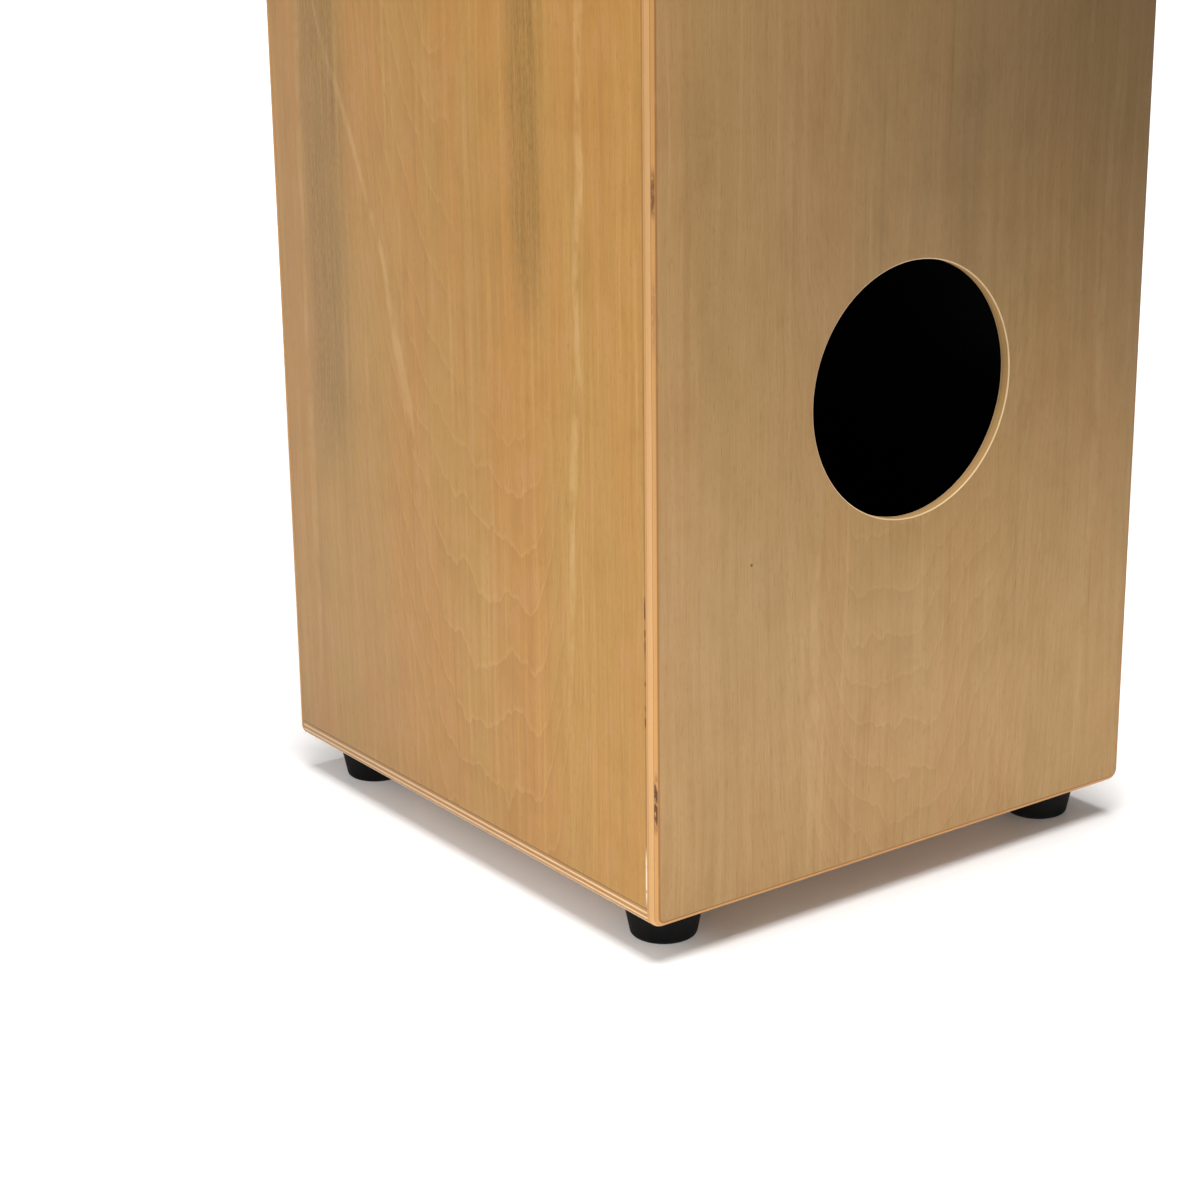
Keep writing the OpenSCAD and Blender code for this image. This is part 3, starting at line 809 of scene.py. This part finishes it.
def wood_screw(name, head_r, head_h, shank_r, length, countersunk):
    """A cross-recessed screw from z = 0, the outside of its head, up to z = length."""
    bpy.ops.object.select_all(action="DESELECT")
    upper_r = shank_r if countersunk else head_r
    bpy.ops.mesh.primitive_cone_add(
        vertices=32, radius1=head_r, radius2=upper_r, depth=head_h, location=(0, 0, head_h / 2)
    )
    head = bpy.context.object
    bpy.ops.object.transform_apply(location=True, rotation=True, scale=True)
    rim = 0.25 * MM if countersunk else 0.9 * MM
    round_edges(head, rim, 4, lambda spot, way: at(spot.z, 0))
    for angle in (0, 90):
        bpy.ops.object.select_all(action="DESELECT")
        bpy.ops.mesh.primitive_cone_add(
            vertices=4, radius1=0.95 * head_r, radius2=0.25 * head_r, depth=0.85 * head_h + 1 * MM,
            location=(0, 0, (0.85 * head_h - 1 * MM) / 2), rotation=(0, 0, math.radians(45 + angle)),
        )
        bar = bpy.context.object
        bpy.ops.object.transform_apply(location=True, rotation=True, scale=True)
        bpy.ops.transform.resize(value=(0.24, 1, 1) if angle else (1, 0.24, 1), center_override=(0, 0, 0))
        cut_with(head, bar)
    core_h = length - head_h - 2.5 * shank_r
    bpy.ops.object.select_all(action="DESELECT")
    bpy.ops.mesh.primitive_cylinder_add(
        vertices=16, radius=0.78 * shank_r, depth=core_h, location=(0, 0, head_h + core_h / 2)
    )
    core = bpy.context.object
    bpy.ops.object.transform_apply(location=True, rotation=True, scale=True)
    pick(core, "FACE", lambda spot, normal: normal.z > 0.9)
    bpy.ops.mesh.extrude_region_move(TRANSFORM_OT_translate={"value": (0, 0, 2.4 * shank_r)})
    bpy.ops.transform.resize(value=(0.12, 0.12, 1), center_override=(0, 0, head_h + core_h))
    leave_edit()
    ridge = thread(
        "ridge", 0.78 * shank_r, 0.22 * shank_r, 0.75 * shank_r, head_h + 0.4 * MM, head_h + core_h
    )
    return join([head, core, ridge], name)


def screws_at(name, pattern, spots, direction):
    """Copies of a screw at several spots, driven along a direction, as one piece."""
    turn_to = Vector((0, 0, 1)).rotation_difference(direction).to_euler()
    copies = []
    for index, spot in enumerate(spots):
        select_only(pattern)
        bpy.ops.object.duplicate(linked=False)
        copy = bpy.context.object
        copy.rotation_euler = (0, 0, math.radians(37 * index))
        bpy.ops.object.transform_apply(location=False, rotation=True, scale=False)
        copy.rotation_euler = turn_to
        copy.location = spot
        bpy.ops.object.transform_apply(location=True, rotation=True, scale=True)
        copies.append(copy)
    bpy.data.objects.remove(pattern)
    return join(copies, name)


# %% [markdown]
# The playing panel's screws are blackened and sit flush in their countersinks. The feet are held by
# zinc-plated pan screws, and pan screws in the anchor bar hold the snare strings.

# %% Screws in their places
panel_pattern = wood_screw("panel screw", 3.5 * MM, 2.0 * MM, SHANK_R, 16 * MM, True)
panel_spots = [Vector((x, front_low.y + 0.02 * MM, z)) for x, z in playing_places]
panel_screws = screws_at("playing_panel_screws_black", panel_pattern, panel_spots, Vector((0, 1, 0)))

foot_screw_low, foot_screw_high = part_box("foot_screws")
foot_screw_length = foot_screw_high.z - foot_screw_low.z
foot_pattern = wood_screw("foot screw", 4 * MM, 2.8 * MM, 2 * MM, foot_screw_length, False)
foot_spots = [Vector((middle_of(n).x, middle_of(n).y, foot_screw_low.z)) for n in foot_nodes]
foot_screws = screws_at("foot_screws_zinc", foot_pattern, foot_spots, Vector((0, 0, 1)))

anchor_low, anchor_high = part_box("anchor_screws")
anchor_z = (anchor_low.z + anchor_high.z) / 2
anchor_pattern = wood_screw(
    "anchor screw", 3.5 * MM, 1.6 * MM, 1.5 * MM, anchor_high.y - anchor_low.y, False
)
anchor_spots = [Vector((x * MM, anchor_low.y, anchor_z)) for x in (-95, -25, 25, 95)]
anchor_screws = screws_at("anchor_screws_zinc", anchor_pattern, anchor_spots, Vector((0, 1, 0)))

# %% [markdown]
# A metal's look is mostly in its roughness. Zinc plate is bright with a cloudy bloom, black oxide is dark and
# dull, and brass and wire are smoother. A cloudy noise varies the shade, and noise squeezed along the axis
# leaves the fine rings of turning.

# %% Metals
TURNING_MARKS = 0.25


def metal(name, base, other, rough, grain):
    finish = Finish(name)
    x, y, z = finish.place()
    where = finish.vector(x, y, z)
    cloud = finish.noise(where, 260, 3, 0.6)
    fine = finish.noise(where, grain, 2)
    turned = finish.noise(finish.vector(x * 90, y * 90, z * 5200), 1, 2)
    colour = finish.mix(base, other, cloud.above(0.40, 0.66))
    colour = finish.mix(colour, base, turned.above(0.55, 0.75) * TURNING_MARKS)
    roughness = rough + cloud * 0.16 + fine * 0.08
    return finish.finish(colour, roughness, turned + fine, 0.012 * MM, Metallic=1.0)


zinc_finish = metal("zinc plate", (0.60, 0.60, 0.58), (0.46, 0.46, 0.45), 0.24, 3000)
black_finish = metal("black oxide", (0.030, 0.030, 0.032), (0.060, 0.056, 0.052), 0.34, 2600)
brass_finish = metal("brass", (0.72, 0.50, 0.22), (0.58, 0.38, 0.15), 0.22, 2400)
wire_finish = metal("spring steel wire", (0.56, 0.55, 0.53), (0.40, 0.39, 0.37), 0.20, 5200)
close_piece(panel_screws, black_finish, "black_steel", "box", "playing_panel_screws")
close_piece(foot_screws, zinc_finish, "zinc_steel", "box", "foot_screws")
close_piece(anchor_screws, zinc_finish, "zinc_steel", "box", "anchor_screws")

# %% [markdown]
# ## Washers
#
# A stamped washer has one soft edge where the punch drew the metal down and one sharp one. Each washer is a
# disc with a bored hole and a larger bevel on its lower edge.

# %% Washers
def washer(name, centre, radius, bore, low, high):
    bpy.ops.object.select_all(action="DESELECT")
    bpy.ops.mesh.primitive_cylinder_add(
        vertices=48, radius=radius, depth=high - low, location=(centre.x, centre.y, (low + high) / 2)
    )
    piece = bpy.context.object
    bpy.ops.object.transform_apply(location=True, rotation=True, scale=True)
    bpy.ops.mesh.primitive_cylinder_add(
        vertices=32, radius=bore, depth=10 * MM, location=(centre.x, centre.y, (low + high) / 2)
    )
    cut_with(piece, bpy.context.object)
    round_edges(piece, 0.3 * MM, 3, lambda spot, way: at(spot.z, low))
    piece.name = name
    return piece


foot_washer_low, foot_washer_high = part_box("foot_washers")
foot_washers = join(
    [
        washer("washer", middle_of(n), 6 * MM, 2.1 * MM, foot_washer_low.z, foot_washer_high.z)
        for n in foot_nodes
    ],
    "foot_washers_zinc",
)
tuner_washer_low, tuner_washer_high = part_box("tuner_washers")
tuner_washers = join(
    [
        washer("washer", middle_of(n), 6.2 * MM, 3.2 * MM, tuner_washer_low.z, tuner_washer_high.z)
        for n in bolt_nodes.values()
    ],
    "tuner_washers_zinc",
)
close_piece(foot_washers, zinc_finish, "zinc_steel", "box", "foot_washers")
close_piece(tuner_washers, zinc_finish, "zinc_steel", "box", "tuner_washers")

# %% [markdown]
# ## Tuning bolts
#
# Under the box two socket-head bolts tighten the snare strings. The head is knurled for the fingers, has a
# hexagonal socket for a key, and bears on a washer. The knurl is a ring of alternate faces pulled out a
# little, and the socket is cut by a six-sided prism.

# %% Tuning bolts
HEAD_R = 5 * MM
HEAD_Z = (21 * MM, 27 * MM)
HEAD_FACETS = 48
SOCKET_ACROSS = 5 * MM
SOCKET_DEEP = 3 * MM
BOLT_END = 87 * MM
CORE_R = 2.6 * MM


def is_ridge(spot):
    """True for every other face round the head."""
    facet = 360 / HEAD_FACETS
    return int(round(math.degrees(math.atan2(spot.y, spot.x)) / facet - 0.5)) % 2 == 0


def tuning_bolt(name, centre):
    bpy.ops.object.select_all(action="DESELECT")
    bpy.ops.mesh.primitive_cylinder_add(
        vertices=HEAD_FACETS, radius=HEAD_R - 0.15 * MM, depth=HEAD_Z[1] - HEAD_Z[0],
        location=(0, 0, sum(HEAD_Z) / 2),
    )
    head = bpy.context.object
    bpy.ops.object.transform_apply(location=True, rotation=True, scale=True)
    round_edges(head, 0.5 * MM, 3, lambda spot, way: at(spot.z, HEAD_Z[0]))
    round_edges(head, 0.3 * MM, 2, lambda spot, way: at(spot.z, HEAD_Z[1]))
    pick(head, "FACE", lambda spot, normal: abs(normal.z) < 0.1 and is_ridge(spot))
    bpy.ops.mesh.inset(thickness=0.12 * MM, use_individual=True)
    bpy.ops.transform.resize(value=(1.025, 1.025, 1), center_override=(0, 0, 0))
    leave_edit()
    bpy.ops.object.select_all(action="DESELECT")
    socket_r = SOCKET_ACROSS / 2 / math.cos(math.radians(30))
    bpy.ops.mesh.primitive_cylinder_add(
        vertices=6, radius=socket_r, depth=8 * MM, location=(0, 0, HEAD_Z[0] + SOCKET_DEEP - 4 * MM)
    )
    cut_with(head, bpy.context.object)
    round_edges(head, 0.2 * MM, 2, lambda spot, way: at(spot.z, HEAD_Z[0]) and spot.xy.length < socket_r)
    bpy.ops.object.select_all(action="DESELECT")
    bpy.ops.mesh.primitive_cylinder_add(
        vertices=32, radius=CORE_R, depth=BOLT_END - HEAD_Z[1], location=(0, 0, (BOLT_END + HEAD_Z[1]) / 2)
    )
    core = bpy.context.object
    bpy.ops.object.transform_apply(location=True, rotation=True, scale=True)
    round_edges(core, 0.6 * MM, 2, lambda spot, way: at(spot.z, BOLT_END))
    ridge = thread("ridge", CORE_R, 0.38 * MM, 1 * MM, HEAD_Z[1] + 1 * MM, BOLT_END - 0.5 * MM, 24)
    bolt = join([head, core, ridge], name)
    select_only(bolt)
    bolt.location = (centre.x, centre.y, 0)
    return bolt


for side, node in bolt_nodes.items():
    bolt = tuning_bolt(side + "_tuning_bolt_black", middle_of(node))
    close_piece(bolt, black_finish, "black_steel", side + "_tuner", node)

# %% [markdown]
# ## String carriers
#
# Each bolt screws into a brass carrier, which slides in a slot and cannot turn. The carriers start drawn
# down, with the strings tight, and a bolt turned the other way lets its carrier up. The carrier is a brass
# block with broken arrises, bored for the bolt and drilled twice for the string.

# %% String carriers
STRING_X = 4.7 * MM
STRING_Y = -151.2 * MM


def string_carrier(side):
    low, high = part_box(side + "_string_carrier")
    bolt = middle_of(bolt_nodes[side])
    carrier = block_between(side + "_string_carrier_brass", low, high)
    round_edges(carrier, 0.5 * MM, 3, lambda centre, way: True)
    for x, y, radius in (
        (bolt.x, bolt.y, 3.02 * MM),
        (bolt.x - STRING_X, STRING_Y, 0.75 * MM),
        (bolt.x + STRING_X, STRING_Y, 0.75 * MM),
    ):
        bpy.ops.object.select_all(action="DESELECT")
        bpy.ops.mesh.primitive_cylinder_add(
            vertices=32, radius=radius, depth=30 * MM, location=(x, y, (low.z + high.z) / 2)
        )
        cut_with(carrier, bpy.context.object)
    return carrier


for side in ("left", "right"):
    close_piece(
        string_carrier(side), brass_finish, "carrier_brass", side + "_carrier", side + "_string_carrier"
    )

# %% [markdown]
# ## Snare strings
#
# A snare string is one steel wire. It is hooked over two screws near the top, bears on two round bridges so
# that it lies just behind the playing panel, and its middle loops under the carrier. The wire is drawn as a
# curve through its turning points, given a round section, and turned into a mesh. When the carrier goes up
# the wire's lower end goes with it.

# %% Strings
WIRE_R = 0.5 * MM
BRIDGE_Z = (425 * MM, 100 * MM)
BRIDGE_Y = -153.7 * MM
ANCHOR_Z = 446 * MM
STRAND_TOP_X = (93 * MM, 27 * MM)
HOOK_Y = -151.5 * MM
CARRIER_TOP = 68 * MM
CARRIER_FOOT = 58 * MM
LOOP_Z = 57.3 * MM


def wire(name, points):
    """A round wire through points."""
    bpy.ops.object.select_all(action="DESELECT")
    bpy.ops.curve.primitive_bezier_curve_add()
    curve = bpy.context.object
    curve.name = name
    curve.data.dimensions = "3D"
    curve.data.splines.clear()
    line = curve.data.splines.new("POLY")
    line.points.add(len(points) - 1)
    for point, spot in zip(line.points, points):
        point.co = (*spot, 1)
    curve.data.bevel_depth = WIRE_R
    curve.data.bevel_resolution = 4
    curve.data.use_fill_caps = True
    bpy.ops.object.convert(target="MESH")
    return bpy.context.object


def string_points(side):
    sign = 1 if side == "left" else -1
    middle = abs(middle_of(bolt_nodes[side]).x)
    upper, lower = BRIDGE_Z
    strands = []
    for top_x, low_x in zip(STRAND_TOP_X, (middle + STRING_X, middle - STRING_X)):
        upper_x, lower_x = (
            top_x + (low_x - top_x) * (ANCHOR_Z - z) / (ANCHOR_Z - CARRIER_TOP) for z in (upper, lower)
        )
        strands.append([
            (top_x, HOOK_Y, ANCHOR_Z + 2 * MM - WIRE_R),
            (top_x, HOOK_Y, ANCHOR_Z - 3 * MM),
            (upper_x, BRIDGE_Y, upper),
            (lower_x, BRIDGE_Y, lower),
            (low_x, STRING_Y, CARRIER_TOP),
            (low_x, STRING_Y, CARRIER_FOOT),
        ])
    loop = [
        (middle + STRING_X * math.cos(step), STRING_Y, LOOP_Z + 0.9 * MM - 0.9 * MM * math.sin(step))
        for step in (math.pi * k / 8 for k in range(1, 8))
    ]
    path = strands[0] + loop + strands[1][::-1]
    return [(sign * x, y, z) for x, y, z in path]


for side in ("left", "right"):
    string = wire(side + "_snare_wire", string_points(side))
    close_piece(string, wire_finish, "string_steel", "box", side + "_string")
    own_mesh(string)

# %% [markdown]
# ## Wood inside the box
#
# Battens behind the front, strips in the corners and beech for the string parts are simple solids that the
# engineering model already holds exactly, so their nodes stay and only take a finish. The battens are near
# black with painted shade, like the rest of the inside, and their grain shows as a faint relief and in the
# gloss.

# %% Pine in painted shade, and beech
pine = Finish("pine in painted shade")
px, py, pz = pine.place()
pine_grain = pine.noise(pine.vector(px * 420, py * 420, pz * 16), 1, 3, 0.6)
pine_cloud = pine.noise(pine.vector(px, py, pz), 24, 3)
# painted shade: the battens inside the box are near black
pine_colour = pine.mix((0.0045, 0.0045, 0.0045), (0.012, 0.011, 0.010), pine_cloud)
pine_finish = pine.finish(
    pine_colour, 0.62 + pine_grain * 0.18, pine_grain, 0.12 * MM, Specular_IOR_Level=0.3
)

beech = Finish("steamed beech")
bx, by, bz = beech.place()
beech_grain = beech.noise(beech.vector(bx * 14, by * 500, bz * 500), 1, 3, 0.6)
beech_fleck = beech.noise(beech.vector(bx * 260, by * 1400, bz * 1400), 1, 1)
beech_colour = beech.mix((0.50, 0.27, 0.13), (0.60, 0.36, 0.19), beech_grain.above(0.3, 0.7))
beech_colour = beech.mix(beech_colour, (0.26, 0.12, 0.05), beech_fleck.above(0.60, 0.72) * 0.7)
beech_finish = beech.finish(beech_colour, 0.46 + beech_grain * 0.1, beech_grain, 0.06 * MM)

wood_slots = {"batten_pine": pine_finish, "beech": beech_finish}
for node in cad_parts.values():
    slots = node.data.materials
    for i, material in enumerate(slots):
        name = material.name.split(".")[0]
        if name in wood_slots and not node.hide_render:
            slots[i] = wood_slots[name]
            print(node.name, "is", wood_slots[name].name)

# %% [markdown]
# ## Floor and light
#
# The set is a plain white studio, with a wide floor, a pale surround and three soft lights. A real white
# sweep is lit until it is pure white, so the floor gives light of its own: nearly full beyond the box as the
# main camera sees it, a quarter of that on the near side, about a third round the box, and almost none
# under it.

# %% Floor
bpy.ops.object.select_all(action="DESELECT")
bpy.ops.mesh.primitive_plane_add(size=60, location=(0, 0, 0))
floor = bpy.context.object
floor.name = "floor"
paper = Finish("white floor")
fx, fy, fz = paper.place()
paper_tone = paper.noise(paper.vector(fx, fy, fz), 3, 2)
paper_colour = paper.mix((0.90, 0.90, 0.90), (0.93, 0.93, 0.93), paper_tone)
distance = (fx ** 2 + fy ** 2) ** 0.5
beyond = (fx * -0.56 + fy * -0.77).above(-0.5, 0.6)
glow = distance.above(0.50, 1.3) * (beyond * 0.75 + 0.25)
outside = (abs(fx + 0.02) - 0.13).math("MAXIMUM", abs(fy) - 0.157)
glow = glow.math("MAXIMUM", outside.above(-0.02, 0.05) * 0.36)
paper.feed(paper.shader.inputs["Emission Color"], paper.mix((0.04, 0.04, 0.04), (1, 1, 1), glow))
floor.data.materials.append(paper.finish(paper_colour, 0.16, Emission_Strength=0.90))

# %% [markdown]
# One large light hangs above, and two low ones face the left side and the rear panel. The overhead light
# makes the dark band under the box, and the low ones make the walls brighter towards the floor. The lights
# stand close, so the camera is kept from seeing them. The surround is pale near the horizon and dim above.
# The plain colour handling keeps the white floor white.

# %% Lights
def softbox(name, place, target, width, height, power):
    """A rectangular light that faces a target."""
    bpy.ops.object.select_all(action="DESELECT")
    bpy.ops.object.light_add(type="AREA", location=place)
    light = bpy.context.object
    light.name = name
    light.data.shape = "RECTANGLE"
    light.data.size = width
    light.data.size_y = height
    light.data.energy = power
    facing = (Vector(target) - Vector(place)).to_track_quat("-Z", "Y")
    light.rotation_euler = facing.to_euler()
    light.visible_camera = False


softbox("overhead light", (0.13, 0.22, 1.6), (0.13, 0.22, 0), 1.0, 1.0, 41)
softbox("left light", (0.66, 0.42, 0.05), (0.15, 0.1, 0.06), 0.6, 0.08, 1.7)
softbox("rear light", (-0.12, 0.47, 0.03), (-0.10, 0.157, 0.03), 0.4, 0.05, 0.26)

world = bpy.context.scene.world or bpy.data.worlds.new("world")
bpy.context.scene.world = world
world.use_nodes = True
sky = world.node_tree.nodes["Background"]
surround = Graph(world.node_tree)
direction = surround.node("ShaderNodeTexCoord", output=0)
height = surround.node("ShaderNodeSeparateXYZ", {0: direction}, output=2)
low_sky = 1 - height.above(0.06, 0.30)
surround.feed(sky.inputs["Color"], surround.mix((0.16, 0.16, 0.16), (0.92, 0.92, 0.92), low_sky))
bpy.context.scene.view_settings.view_transform = "Standard"
